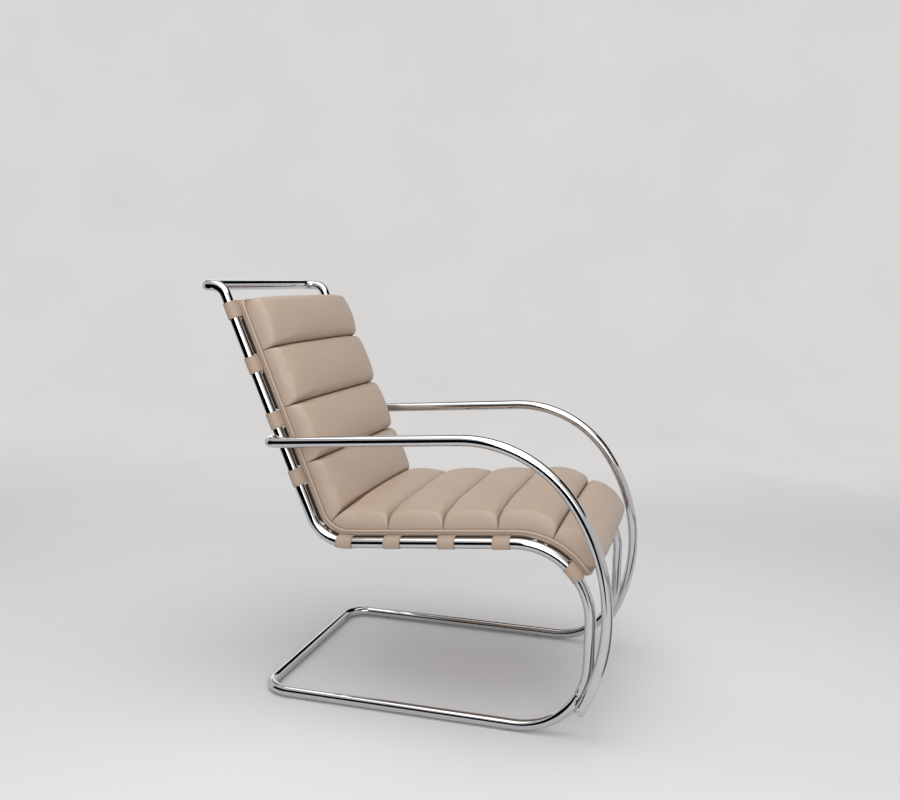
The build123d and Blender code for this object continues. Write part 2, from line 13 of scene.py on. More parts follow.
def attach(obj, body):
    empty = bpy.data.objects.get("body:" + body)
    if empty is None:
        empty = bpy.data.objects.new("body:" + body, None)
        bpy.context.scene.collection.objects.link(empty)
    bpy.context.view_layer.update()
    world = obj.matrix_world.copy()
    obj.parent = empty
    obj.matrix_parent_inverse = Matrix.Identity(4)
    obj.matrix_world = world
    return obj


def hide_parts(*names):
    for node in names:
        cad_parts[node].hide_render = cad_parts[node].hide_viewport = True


bl_info = {
    "name": "Cantilever lounge chair",
    "version": (1, 0, 0),
    "blender": (4, 5, 0),
    "location": "View3D > Sidebar > Lounge chair",
    "description": "Builds the chromed tubes, leather belts and channelled cushion",
    "category": "Object",
}

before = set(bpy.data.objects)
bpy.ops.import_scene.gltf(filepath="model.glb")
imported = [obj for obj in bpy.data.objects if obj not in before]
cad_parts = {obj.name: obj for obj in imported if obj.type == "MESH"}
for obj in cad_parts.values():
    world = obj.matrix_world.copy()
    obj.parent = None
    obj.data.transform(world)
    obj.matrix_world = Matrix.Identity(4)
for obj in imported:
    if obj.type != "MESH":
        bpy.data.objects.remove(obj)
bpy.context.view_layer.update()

# Places along the upper tube, from the start of its seat bend.
SEAT_STRAPS = (638.0, 526.0, 403.0, 282.0, 114.0)
BACK_STRAPS = (1231.0, 1101.0, 969.0, 833.0)
STRETCHERS = (205.0, 700.0)
CUSHION_START = 91.0
# Widths of the rolls from seam to seam.
SEAT_PITCHES = (101.0, 118.0, 122.0, 127.0, 143.0)
BACK_PITCHES = (146.0, 134.0, 136.0, 118.0)
# Straights, radii and turns of the tubes, the turns in degrees.
FRONT_F, FRONT_R, JOINT = 590.0, 155.0, 26.0
LEG, SEAT, BACK = 90.0, 374.0, 530.0
SEAT_TURN, FOLD_R, TOP_R = 95.3, 85.0, 32.0
RAIL_CORNER, BASE_CORNER, ARM_CORNER = 28.0, 60.0, 27.0
ARM_RISE, ARM_BENDS, ARM_TIP = 4.5, ((275.0, -58.5), (418.0, -64.2)), (142.2, -95.1)
# Thicknesses, the space between frame and arm, and the clearance of layers.
GLIDE, BELT, PANEL, WELT_R, ARM_GAP, FIT = 2.0, 2.0, 3.8, 3.5, 2.0, 0.3
# The panel's edge past the rolls, and the cushion's half width at the welt.
MARGIN, CUSHION_HALF = 3.0, 263.0
ACROSS = np.array([1.0, 0.0, 0.0])


# Side view
class Track:
    """A tube's centre line in the side view, for whole arrays of places at once.

    runs holds (length, turn in degrees), a turn to the left being positive.
    """

    def __init__(self, start, heading, runs):
        self.pieces = []
        s, point, angle = 0.0, np.array(start, float), math.radians(heading)
        for length, turn in runs:
            self.pieces.append((s, length, point, angle, math.radians(turn)))
            point = self._walk(self.pieces[-1], np.array([length]), np.array([0.0]))[0]
            angle += math.radians(turn)
            s += length
        self.length = s

    @staticmethod
    def _walk(piece, along, off):
        """Start plus the straight or the chord of the arc, moved off to the right of it."""
        _, length, start, angle, turn = piece
        now = angle + turn * along / length
        if turn:
            radius = length / turn
            f = start[0] + radius * (np.sin(now) - math.sin(angle))
            z = start[1] - radius * (np.cos(now) - math.cos(angle))
        else:
            f = start[0] + along * math.cos(angle)
            z = start[1] + along * math.sin(angle)
        return np.stack([f + off * np.sin(now), z - off * np.cos(now)], axis=-1)

    def at(self, s, off=0.0):
        """Points (f, z) at the places s, off to the right of the line."""
        s, off = np.broadcast_arrays(np.asarray(s, float), np.asarray(off, float))
        out = np.zeros(s.shape + (2,))
        for number, piece in enumerate(self.pieces):
            inside = s >= piece[0] if number else np.ones(s.shape, bool)
            out[inside] = self._walk(piece, s[inside] - piece[0], off[inside])
        return out

    def heading(self, s):
        """Heading in radians at the places s."""
        s = np.asarray(s, float)
        out = np.zeros(s.shape)
        for number, (begin, length, _, angle, turn) in enumerate(self.pieces):
            inside = s >= begin if number else np.ones(s.shape, bool)
            out[inside] = angle + turn * (s[inside] - begin) / length
        return out

    def reach(self, s0, distance, off):
        """The places a distance on from s0, measured on the parallel at off."""
        s = np.linspace(s0, self.length, 6000)
        line = self.at(s, off)
        walked = np.concatenate([[0.0], np.cumsum(np.linalg.norm(np.diff(line, axis=0), axis=1))])
        return np.interp(distance, walked, s)


def bend(radius, degrees):
    """A run of a track that turns by degrees at a radius."""
    return (radius * math.radians(abs(degrees)), degrees)


class Lines:
    """The chair's centre lines and layers, from the sizes in its settings."""

    def __init__(self, chair):
        mm = 1000.0
        self.tube_r = chair.tube_diameter * mm / 2
        self.half = chair.frame_width * mm / 2
        rake = math.degrees(chair.back_rake)
        floor_z = GLIDE + self.tube_r
        low = (FRONT_F, floor_z + FRONT_R)
        a = math.radians(-JOINT)
        start = (low[0] + FRONT_R * math.cos(a), low[1] + FRONT_R * math.sin(a))
        self.side = Track(start, 90.0 - JOINT, [
            bend(FRONT_R, JOINT), (LEG, 0.0), bend(FRONT_R, SEAT_TURN), (SEAT, 0.0),
            bend(FOLD_R, rake - SEAT_TURN), (BACK, 0.0), bend(TOP_R, 90.0 - rake)])
        self.base = Track((0.0, floor_z), 0.0, [(FRONT_F, 0.0), bend(FRONT_R, 90.0 - JOINT)])
        self.top_bend = self.side.pieces[2][0]
        foot = self.side.pieces[5][2]
        gap = 2 * self.tube_r + ARM_GAP
        curve = [bend(*part) for part in ARM_BENDS]
        sweep = Track((0.0, 0.0), ARM_RISE, curve)
        start = np.array(low) + ARM_TIP - sweep.at(sweep.length)
        lean, rise = math.tan(math.radians(rake)), math.radians(ARM_RISE)
        behind = gap / math.cos(math.radians(rake))
        run = start[0] - foot[0] + behind + (start[1] - foot[1]) * lean
        run /= math.cos(rise) + math.sin(rise) * lean
        back = (start[0] - run * math.cos(rise), start[1] - run * math.sin(rise))
        self.arm = Track(back, ARM_RISE, [(run, 0.0), *curve])
        self.arm_half = self.half + gap
        front = self.arm.at(np.linspace(0.0, self.arm.length, 4000))[:, 0].max()
        rail = self.side.at(self.side.length)[0] - RAIL_CORNER
        self.middle = (front + rail) / 2
        self.strap_in = self.tube_r + FIT
        self.panel_low = self.strap_in + BELT + FIT
        self.panel_top = self.panel_low + PANEL
        self.roll_base = self.panel_top + FIT
        self.welt_off = self.roll_base + MARGIN
        self.roll_half = CUSHION_HALF - MARGIN - FIT
        self.welt_front = self.top_bend + CUSHION_START
        self.edges = [self.side.reach(self.welt_front, MARGIN + FIT, self.roll_base)]
        for pitch in SEAT_PITCHES + BACK_PITCHES:
            self.edges.append(self.side.reach(self.edges[-1], pitch, self.roll_base))
        self.welt_top = self.edges[-1] + MARGIN + FIT

    def place(self, x, point):
        """Side-view points at x, in the chair's own axes."""
        point = np.asarray(point, float)
        x = np.broadcast_to(np.asarray(x, float), point.shape[:-1])
        return np.stack([x, self.middle - point[..., 0], point[..., 1]], axis=-1)

    @staticmethod
    def forward(angle):
        """Directions of side-view headings, in the chair's own axes."""
        angle = np.asarray(angle, float)
        return np.stack([np.zeros_like(angle), -np.cos(angle), np.sin(angle)], axis=-1)


# Meshes
def mesh_object(name, verts, faces):
    """A new object in the scene; verts in metres."""
    mesh = bpy.data.meshes.new(name)
    mesh.from_pydata(np.asarray(verts).tolist(), [], faces)
    made = bpy.data.objects.new(name, mesh)
    bpy.context.scene.collection.objects.link(made)
    return made


def new_piece(name, verts, faces, replaced, padded=None, **stored):
    """A smooth mesh piece in place, riding on the frame; verts in millimetres.

    Each array in stored is kept on the mesh, for its material to read.
    """
    piece = mesh_object(name, verts / 1000.0, faces)
    piece.data.shade_smooth()
    for key, values in stored.items():
        layer = piece.data.attributes.new(key, "FLOAT", "POINT")
        layer.data.foreach_set("value", values.astype(np.float32).ravel())
    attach(piece, "root")
    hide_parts(*replaced)
    return piece


def grid_faces(rows, cols, wrap_rows=False, wrap_cols=False):
    """Quads over a grid of rows by cols points, joined round where asked."""
    i = np.arange(rows if wrap_rows else rows - 1)[:, None]
    j = np.arange(cols if wrap_cols else cols - 1)[None, :]
    i2, j2 = (i + 1) % rows, (j + 1) % cols
    quads = np.stack([i * cols + j, i * cols + j2, i2 * cols + j2, i2 * cols + j], axis=-1)
    return quads.reshape(-1, 4)


def closed(grid):
    """Points and faces of a tube of rings, with a fan to the middle of each end ring."""
    rows, cols = grid.shape[:2]
    j = np.arange(cols)
    after, last, tip = (j + 1) % cols, (rows - 1) * cols, np.full(cols, rows * cols)
    fans = np.stack([[tip, after, j], [tip + 1, last + j, last + after]]).swapaxes(1, 2)
    verts = np.concatenate([grid.reshape(-1, 3), grid[[0, -1]].mean(axis=1)])
    return verts, grid_faces(rows, cols, False, True).tolist() + fans.reshape(-1, 3).tolist()


def rings(points, tangents, normals, radii, count=48):
    """A ring of points round each point of a path.

    Each is the path's point, plus the radius times the cosine of its angle
    along the side direction (normal cross tangent) and the sine along the normal.
    """
    a = np.linspace(0.0, 2 * math.pi, count, endpoint=False)[:, None]
    around = np.cos(a) * np.cross(normals, tangents)[:, None] + np.sin(a) * normals[:, None]
    return points[:, None] + around * np.broadcast_to(radii, len(points))[:, None, None]


def side_run(lines, track, s0, s1, x, off=0.0):
    """Points, tangents and normals of a stretch of a track at x.

    Points lie every 1.6 degrees on the bends, and divide straights in eight.
    """
    places = [s0]
    for begin, length, _, _, turn in track.pieces:
        low, high = max(s0, begin), min(s1, begin + length)
        if high - low > 1e-6:
            count = max(2, int(abs(math.degrees(turn)) * (high - low) / length / 1.6) + 1) if turn else 8
            places.extend(np.linspace(low, high, count + 1)[1:])
    s = np.array(places)
    tangents = lines.forward(track.heading(s))
    return lines.place(x, track.at(s, off)), tangents, np.cross(tangents, ACROSS)


def corner_run(start, tangent, normal, radius, step=2.5):
    """A quarter bend towards +x: the start, moved round a centre that lies beside it."""
    a = np.radians(np.arange(step, 90.0 + step / 2, step))[:, None]
    points = start + tangent * radius * np.sin(a) + ACROSS * radius * (1 - np.cos(a))
    tangents = tangent * np.cos(a) + ACROSS * np.sin(a)
    return points, tangents, np.repeat(normal[None], len(a), axis=0)


def joined(*runs):
    """Runs one after another, as one run."""
    return [np.concatenate(part) for part in zip(*runs)]


def mirrored(run):
    """A left-hand run, followed by its mirror image the other way round."""
    points, tangents, normals = (part[::-1] * [-1.0, 1.0, 1.0] for part in run)
    return joined(run, (points, -tangents, normals))


def loop_run(lines, track, half, radius, from_start):
    """A side run with its corner at the track's end, or at its start, and the same mirrored."""
    run = side_run(lines, track, radius if from_start else 0.0, track.length, -half)
    if from_start:
        run = (run[0][::-1], -run[1][::-1], -run[2][::-1])
    return mirrored(joined(run, corner_run(*(part[-1] for part in run), radius)))


def tube_piece(name, run, radius, node, count=48, bevel=0.5):
    """A round tube over a run, its closed ends bevelled, so that a joint shows as a fine line."""
    doubled = np.r_[0, 0, 1:len(run[0]) - 1, -1, -1]
    points, tangents, normals = (part[doubled] for part in run)
    points[1] += bevel * tangents[0]
    points[-2] -= bevel * tangents[-1]
    radii = np.full(len(points), radius)
    radii[[0, -1]] -= bevel
    return new_piece(name, *closed(rings(points, tangents, normals, radii, count)), (node,))


# Materials
class Maths:
    """A result in a node tree; the usual operators add Math nodes."""

    def __init__(self, nodes, socket):
        self.nodes, self.socket = nodes, socket

    def _math(self, operation, first, second):
        return self.nodes.add("ShaderNodeMath", {"operation": operation}, {0: first, 1: second})

    def __add__(self, other):
        return self._math("ADD", self, other)

    def __sub__(self, other):
        return self._math("SUBTRACT", self, other)

    def __mul__(self, other):
        return self._math("MULTIPLY", self, other)

    def __truediv__(self, other):
        return self._math("DIVIDE", self, other)

    def __radd__(self, other):
        return self._math("ADD", other, self)

    def __rsub__(self, other):
        return self._math("SUBTRACT", other, self)

    def clamp(self):
        """The number kept between 0 and 1."""
        return self.nodes.add("ShaderNodeClamp", {}, {"Value": self})


class Nodes:
    """A node tree, written one node at a time."""

    def __init__(self, tree):
        self.tree = tree

    def put(self, target, value):
        """Link a result to a socket, or set the socket's own value."""
        if isinstance(value, Maths):
            self.tree.links.new(value.socket, target)
        else:
            target.default_value = value

    def add(self, kind, settings, inputs, output=0):
        """A node of a kind, with its settings and the values or links of its sockets."""
        node = self.tree.nodes.new(kind)
        for key, value in settings.items():
            setattr(node, key, value)
        for key, value in inputs.items():
            self.put(node.inputs[key], value)
        return Maths(self, node.outputs[output])

    def coordinates(self):
        """The piece's own coordinates, in metres."""
        return self.add("ShaderNodeTexCoord", {}, {}, "Object")

    def noise(self, scale, detail, vector=None):
        """Noise between 0 and 1 on the piece's own coordinates."""
        vector = self.coordinates() if vector is None else vector
        return self.add("ShaderNodeTexNoise", {}, {"Vector": vector, "Scale": scale, "Detail": detail}, "Fac")

    def mix(self, factor, first, second):
        """Two colours mixed by a factor; sockets 6 and 7 take the colours, and 2 gives the mix."""
        return self.add("ShaderNodeMix", {"data_type": "RGBA"}, {0: factor, 6: first, 7: second}, 2)

    def seen(self):
        """1 for rays of the camera, of reflections and through glass, 0 for the others."""
        rays = self.tree.nodes.new("ShaderNodeLightPath").outputs
        kinds = ("Is Camera Ray", "Is Glossy Ray", "Is Transmission Ray")
        eye, glossy, clear = (Maths(self, rays[kind]) for kind in kinds)
        return (eye + glossy + clear).clamp()


class Surface(Nodes):
    """A material's node tree and its Principled shader."""

    def __init__(self, name, color):
        self.material = bpy.data.materials.new(name)
        self.material.use_nodes = True
        self.material.diffuse_color = (*color, 1.0)
        super().__init__(self.material.node_tree)
        self.shader = self.tree.nodes["Principled BSDF"]

    def finish(self, **sockets):
        """Values or links of the shader's own sockets; underscores stand for spaces."""
        for key, value in sockets.items():
            self.put(self.shader.inputs[key.replace("_", " ")], value)
        return self.material

    def bump(self, height, strength, distance):
        """A normal out of a height in metres."""
        inputs = {"Strength": strength, "Distance": distance, "Height": height}
        return self.add("ShaderNodeBump", {}, inputs, "Normal")


def rgba(color, factor=1.0):
    """A colour with its alpha, made darker or lighter by a factor."""
    return (*(part * factor for part in color), 1.0)


def chrome_material(name, color):
    """Polished plate: mirror-bright, with the faintest uneven polish and wiped film."""
    n = Surface(name, color)
    film, wiped, wave = n.noise(9.0, 3.0), n.noise(60.0, 2.0), n.noise(14.0, 1.0)
    return n.finish(Base_Color=n.mix(film, rgba(color), rgba(color, 0.94)), Metallic=1.0,
                    Roughness=0.028 + film * 0.030 + wiped * 0.012, Normal=n.bump(wave, 0.03, 0.002))


def fitting_material(name, color, roughness, metallic):
    """Small fittings, of steel with fine scratches or of plastic with a fine matt texture."""
    scale, shade, uneven, height = (900.0, 0.82, 0.12, 0.15) if metallic else (1400.0, 1.25, 0.1, 0.3)
    n = Surface(name, color)
    grain = n.noise(scale, 2.0)
    return n.finish(Base_Color=n.mix(grain, rgba(color), rgba(color, shade)), Metallic=metallic,
                    Roughness=roughness + grain * uneven, Normal=n.bump(grain, height, 0.0002))


def leather_material(name, color, crease, grain, roughness, darkest=0.52):
    """Soft, finely pebbled leather.

    Cells about 1 mm across give the pebbles, noise their unevenness, and a
    number stored on the mesh, whose name is passed in, darkens and roughens
    the leather where it is high, down to the darkest share of its colour:
    painted shade in the rolls' creases and under them and in the panel's
    recess, and the dyed edges of the belts.
    """
    n = Surface(name, color)
    place = n.coordinates()
    cells = n.add("ShaderNodeTexVoronoi", {"feature": "SMOOTH_F1"},
                  {"Vector": place, "Scale": 950.0 / grain, "Smoothness": 0.6}, "Distance")
    fine = n.noise(2600.0 / grain, 3.0, place)
    patches = n.noise(7.0, 3.0, place)
    mottle = n.noise(70.0, 4.0, place)
    tone = n.mix(patches, rgba(color, 0.95), rgba(color, 1.04))
    tone = n.mix(mottle * 0.35, tone, rgba(color, 0.90))
    tone = n.mix((cells * 0.22).clamp(), tone, rgba(color, 0.80))
    rough = roughness + patches * 0.06 + cells * 0.10
    # painted shade where the stored number is high (roll creases and undersides, panel recess); on the belts
    # it gives their dyed edges
    if crease:
        near = n.add("ShaderNodeAttribute", {"attribute_name": crease}, {}, "Fac")
        tone = n.mix((near * 0.62).clamp(), tone, rgba(color, darkest))
        rough = rough + near * 0.12
    height = cells * -0.6 + fine * 0.25 + mottle * 0.5
    return n.finish(Base_Color=tone, Roughness=rough, Specular_IOR_Level=0.42,
                    Coat_Weight=0.04, Coat_Roughness=0.35, Normal=n.bump(height, 0.22, 0.0004))


def kept(make, name, *rest):
    """A material made once and shared by like pieces."""
    return bpy.data.materials.get(name) or make(name, *rest)


def dress(piece, material):
    """Give a piece one material."""
    piece.data.materials.clear()
    piece.data.materials.append(material)


def dress_node(name, material):
    """A better material on a CAD node, in each of its slots."""
    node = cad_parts[name]
    if not node.material_slots:
        node.data.materials.append(material)
    for slot in node.material_slots:
        slot.material = material


# Settings
class CHAIR_PG_sizes(bpy.types.PropertyGroup):
    """Sizes of the chair that a user would change."""

    tube_diameter: bpy.props.FloatProperty(
        name="Tube diameter", description="Outside diameter of every frame tube",
        default=0.024, min=0.018, max=0.032, subtype="DISTANCE", unit="LENGTH")
    frame_width: bpy.props.FloatProperty(
        name="Frame width", description="Between the centre lines of the side tubes",
        default=0.560, min=0.45, max=0.65, subtype="DISTANCE", unit="LENGTH")
    back_rake: bpy.props.FloatProperty(
        name="Back rake", description="Lean of the back off upright",
        default=math.radians(23.2), min=0.2, max=0.6, subtype="ANGLE", unit="ROTATION")
    belt_width: bpy.props.FloatProperty(
        name="Belt width", description="Width of each leather belt",
        default=0.038, min=0.02, max=0.06, subtype="DISTANCE", unit="LENGTH")
    crown: bpy.props.FloatProperty(
        name="Roll height", description="From the cushion's base panel to the crown of a roll",
        default=0.064, min=0.03, max=0.08, subtype="DISTANCE", unit="LENGTH")
    channel: bpy.props.FloatProperty(
        name="Channel height", description="From the base panel to the sewn channel between rolls",
        default=0.036, min=0.01, max=0.05, subtype="DISTANCE", unit="LENGTH")


class CHAIR_PG_look(bpy.types.PropertyGroup):
    """Colours of the chair and its studio."""

    leather: bpy.props.FloatVectorProperty(
        name="Leather", description="Colour of the cushion and belts", subtype="COLOR",
        size=3, min=0.0, max=1.0, default=(0.495, 0.382, 0.298))
    chrome: bpy.props.FloatVectorProperty(
        name="Chrome", description="Colour of the polished plate", subtype="COLOR",
        size=3, min=0.0, max=1.0, default=(0.62, 0.62, 0.63))
    floor: bpy.props.FloatVectorProperty(
        name="Floor", description="Colour of the plain floor", subtype="COLOR",
        size=3, min=0.0, max=1.0, default=(0.76, 0.76, 0.765))
    backdrop: bpy.props.FloatVectorProperty(
        name="Backdrop", description="Colour behind the chair", subtype="COLOR",
        size=3, min=0.0, max=1.0, default=(0.69, 0.68, 0.67))


def settings():
    """The chair's lines, sizes and look, as the operators read them."""
    scene = bpy.context.scene
    return Lines(scene.chair_sizes), scene.chair_sizes, scene.chair_look


# Pieces
class CHAIR_OT_tubes(bpy.types.Operator):
    """Build the upper frame tube, the base tube, the arm loop and the stretchers"""

    bl_idname = "chair.tubes"
    bl_label = "Tubes"

    def execute(self, context):
        lines, _, look = settings()
        chrome = kept(chrome_material, "polished chrome", look.chrome)
        loops = (
            ("upper_tube", "upper_frame_tube", lines.side, lines.half, RAIL_CORNER, False),
            ("floor_tube", "base_tube", lines.base, lines.half, BASE_CORNER, True),
            ("arm_tube", "arm_loop_tube", lines.arm, lines.arm_half, ARM_CORNER, True),
        )
        for name, node, *loop in loops:
            dress(tube_piece(name, loop_run(lines, *loop), lines.tube_r, node), chrome)
        x = np.linspace(8.0 - lines.half, lines.half - 8.0, 9)
        along, up = np.repeat([[[1.0, 0.0, 0.0]], [[0.0, 0.0, 1.0]]], len(x), axis=1)
        for name, s in zip(("front_stretcher", "rear_stretcher"), STRETCHERS):
            point = lines.side.at(lines.top_bend + s)
            points = lines.place(x, np.repeat(point[None], len(x), axis=0))
            dress(tube_piece(name + "_tube", (points, along, up), 9.5, name, 40), chrome)
        return {"FINISHED"}


class CHAIR_OT_arm_ends(bpy.types.Operator):
    """Close the arms' free ends with polished domes"""

    bl_idname = "chair.arm_ends"
    bl_label = "Arm ends"

    def execute(self, context):
        lines, _, look = settings()
        chrome = kept(chrome_material, "polished chrome", look.chrome)
        ahead = lines.forward(lines.arm.heading(lines.arm.length))
        normal = np.cross(ahead, ACROSS)
        edge, a = 4.5, np.radians(np.linspace(0.0, 90.0, 13))
        along = np.concatenate([[0.1, 0.5], 1.0 + edge * np.sin(a)])[:, None]
        radii = lines.tube_r - np.concatenate([[0.5, 0.0], edge - edge * np.cos(a)])
        radii[-1] = 0.2
        for sign, side in ((-1, "left"), (1, "right")):
            points = lines.place(sign * lines.arm_half, lines.arm.at(lines.arm.length)) + ahead * along
            tangents, normals = (np.broadcast_to(way, points.shape) for way in (ahead, normal))
            piece = new_piece("arm_end_" + side, *closed(rings(points, tangents, normals, radii)),
                              ("arm_end_plug_" + side,))
            dress(piece, chrome)
        return {"FINISHED"}


class CHAIR_OT_fittings(bpy.types.Operator):
    """Finish the screws, studs, sleeves, spacers, saddles and glides"""

    bl_idname = "chair.fittings"
    bl_label = "Fittings"

    def execute(self, context):
        steel = kept(fitting_material, "plated screws", (0.60, 0.60, 0.61), 0.22, 1.0)
        turned = kept(fitting_material, "turned sleeves", (0.42, 0.42, 0.43), 0.38, 1.0)
        black = kept(fitting_material, "black spacers", (0.028, 0.028, 0.030), 0.45, 0.0)
        pale = kept(fitting_material, "pale glides", (0.30, 0.30, 0.31), 0.35, 0.0)
        kinds = {"screws": steel, "studs": steel, "sleeve": turned,
                 "glide": pale, "spacer": black, "saddle": black}
        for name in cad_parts:
            for kind, material in kinds.items():
                if kind in name:
                    dress_node(name, material)
        return {"FINISHED"}


def strip_section(width, thickness, round_r):
    """A flat strip's section with rounded edges, as (width, thickness) pairs."""
    a = np.radians(np.linspace(0.0, 90.0, 6))
    x, y = width / 2 - round_r, thickness / 2 - round_r
    quarter = np.stack([x + round_r * np.cos(a), y + round_r * np.sin(a)], axis=-1)
    inner = np.linspace(quarter[-1], quarter[-1] * [-1, 1], 8)[1:-1]
    half = np.concatenate([quarter, inner, quarter[::-1] * [-1, 1]])
    return np.concatenate([half, -half])


def belt_path(lines, loop=48.0, tab=30.0):
    """The middle line of a belt's right half, from the chair's middle to its end.

    Over the top of the side tube, round it, and back up to lie under itself,
    as points (x, off); the ramp back up is eased by 3 t squared less 2 t cubed.
    """
    r = lines.strap_in + BELT / 2
    under = r - BELT - 0.06
    sweep = 180.0 + 2 * math.degrees(math.atan2(lines.strap_in, loop))
    top = np.stack([np.linspace(0.0, lines.half, 40), np.full(40, r)], axis=-1)
    a = np.radians(90.0 - np.linspace(4.0, 360.0 - sweep - 4.0, 46))
    turn = np.stack([lines.half + r * np.cos(a), r * np.sin(a)], axis=-1)
    tip = np.array([lines.half - loop - 1.0, under])
    t = np.linspace(0.0, 1.0, 17)[1:, None]
    ease = t * t * (3 - 2 * t)
    ramp = turn[-1] + (tip - turn[-1]) * np.concatenate([t, t * 0.45 + ease * 0.55], axis=1)
    end = np.stack([tip[0] - np.linspace(0.0, tab, 12)[1:], np.full(11, under)], axis=-1)
    return np.concatenate([top, turn, ramp, end])


class CHAIR_OT_belts(bpy.types.Operator):
    """Build the nine leather belts, each turned round both side tubes and riveted"""

    bl_idname = "chair.belts"
    bl_label = "Belts"

    def execute(self, context):
        lines, sizes, look = settings()
        # the belts' leather is the cushion's made darker and a little redder: the darkening is painted shade
        # for belts lying under the cushion
        color = np.multiply(look.leather, (0.89, 0.87, 0.85))
        leather = kept(leather_material, "belt leather", color, "edge", 0.8, 0.46)
        right = belt_path(lines)
        path = np.concatenate([right[::-1] * [-1, 1], right[1:]])
        ahead = np.gradient(path, axis=0)
        ahead /= np.linalg.norm(ahead, axis=1)[:, None]
        wide, bevel = sizes.belt_width * 1000.0, 1.2
        section = strip_section(wide, BELT - 0.04, 0.8)
        taper = np.ones((len(path), 1))
        taper[[0, -1]] = 0.97
        x = path[:, :1] - section[:, 1] * ahead[:, 1:]
        off = path[:, 1:] + section[:, 1] * ahead[:, :1]
        width = section[:, 0] * taper
        edge = np.clip((np.abs(width) - wide / 2 + bevel) / bevel, 0.0, 1.0)
        for kind, straps in (("seat_strap_", SEAT_STRAPS), ("back_strap_", BACK_STRAPS)):
            for number, s in enumerate(straps, 1):
                name = kind + str(number)
                grid = lines.place(x, lines.side.at(lines.top_bend + s + width, off))
                piece = new_piece("belt_" + name, *closed(grid), (name,), edge=np.append(edge, [0.6, 0.6]))
                dress(piece, leather)
        return {"FINISHED"}


def drawn_in(depth, quick, slow, share):
    """How far up a roll is, depth in from its end: a quick round, then a slow rise.

    Of the height, share is reached on a quarter ellipse of length quick, and
    the rest falls off by e for each slow of depth.
    """
    fast = 1.0 - np.minimum(depth / quick, 1.0)
    return share * np.sqrt(1.0 - fast ** 2) + (1.0 - share) * (1.0 - np.exp(-depth / slow))


def corner_cut(corner, past):
    """How far a round corner has drawn in: r less the root of r squared less past squared."""
    return corner - np.sqrt(np.maximum(corner ** 2 - np.maximum(past, 0.0) ** 2, 0.0))


def roll_outline(half, channel, crown, round_share, count):
    """One roll cut across: up its side, over the shoulder, crown and other shoulder.

    Arcs of a shoulder and a top circle that touch each other; channel, crown
    and the shoulder's share of the rise are whole columns, one for each cut.
    Returns a across the roll, h up from the panel, and the places round the
    outline: 0 to 1 up the side, to 2 over the shoulder, to 3 at the crown.
    """
    channel, crown = channel[:, None], crown[:, None]
    rise = crown - channel
    shoulder = round_share[:, None] * rise
    run = half - shoulder
    top_r = (run * run + rise * rise - shoulder * shoulder) / (2 * (rise - shoulder))
    lean = np.arctan2(top_r - rise, -run)
    t = np.linspace(0.0, 1.0, count)[None, :]
    angle = math.pi + (lean - math.pi) * t
    wide = lean + (math.pi / 2 - lean) * t[:, 1:]
    wall = np.linspace(0.0, 1.0, 5)[None, :-1]
    a = np.concatenate([0.0 * channel * wall, shoulder + shoulder * np.cos(angle),
                        half + top_r * np.cos(wide)], axis=1)
    h = np.concatenate([channel * wall, channel + shoulder * np.sin(angle),
                        crown - top_r + top_r * np.sin(wide)], axis=1)
    round_at = np.concatenate([wall[0], 1.0 + t[0], 2.0 + t[0, 1:]])
    return (np.concatenate([a, (2 * half - a)[:, -2::-1]], axis=1),
            np.concatenate([h, h[:, -2::-1]], axis=1),
            np.concatenate([round_at, 6.0 - round_at[-2::-1]]))


def ripple(x, seed, waves, shortest, longest):
    """A smooth uneven line along x, between about -1 and 1: a sum of seeded sines."""
    rng = np.random.default_rng(seed)
    length = rng.uniform(shortest, longest, waves)
    phase = rng.uniform(0.0, 2 * math.pi, waves)
    height = rng.uniform(0.5, 1.0, waves)
    return (height * np.sin(2 * math.pi * x[:, None] / length + phase)).sum(axis=1) / waves ** 0.5


def between(rows, at):
    """Rows of a grid read off at fractional places, on a cubic through four rows."""
    low = np.clip(at.astype(int), 0, len(rows) - 2)
    t = (at - low).reshape((-1,) + (1,) * (rows.ndim - 1))
    p, q, r, s = (rows[np.clip(low + step, 0, len(rows) - 1)] for step in (-1, 0, 1, 2))
    return q + 0.5 * t * (r - p + t * (2 * p - 5 * q + 4 * r - s + t * (3 * (q - r) + s - p)))


def tube_faces(rows, cols):
    """Quads over a closed tube of rows of points, and strips across its two ends."""
    i = np.arange(cols // 2 - 1)
    cap = np.stack([i, i + 1, cols - 2 - i, cols - 1 - i], axis=-1)
    quads = grid_faces(rows, cols, False, True)
    return np.concatenate([quads, cap[:, ::-1], cap + (rows - 1) * cols]).tolist()


def blown_up(grid, sewn, pressure=9.0, frames=20):
    """How far each point of a closed leather tube moves when it is stuffed.

    The grid of points, in millimetres, becomes cloth held where it is sewn,
    and a pressure inside it swells the rest for some frames.
    """
    scene = bpy.context.scene
    rows, cols = grid.shape[:2]
    skin = mesh_object("stuffing", grid.reshape(-1, 3) / 1000.0, tube_faces(rows, cols))
    held = skin.vertex_groups.new(name="sewn")
    held.add(np.flatnonzero(sewn.ravel()).tolist(), 1.0, "REPLACE")
    cloth = skin.modifiers.new("cloth", "CLOTH")
    cloth.point_cache.frame_start, cloth.point_cache.frame_end = 1, frames
    leather = cloth.settings
    leather.quality = 5
    leather.mass = 0.35
    leather.tension_stiffness = leather.compression_stiffness = 20.0
    leather.shear_stiffness = 12.0
    leather.bending_stiffness = 1.5
    leather.use_pressure = True
    leather.uniform_pressure_force = pressure
    leather.vertex_group_mass = "sewn"
    leather.effector_weights.gravity = 0.0
    for number in range(1, frames + 1):
        scene.frame_set(number)
    shape = skin.evaluated_get(bpy.context.evaluated_depsgraph_get()).data
    places = np.zeros(rows * cols * 3, np.float32)
    shape.vertices.foreach_get("co", places)
    bpy.data.meshes.remove(skin.data)
    scene.frame_set(1)
    return places.reshape(rows, cols, 3) * 1000.0 - grid


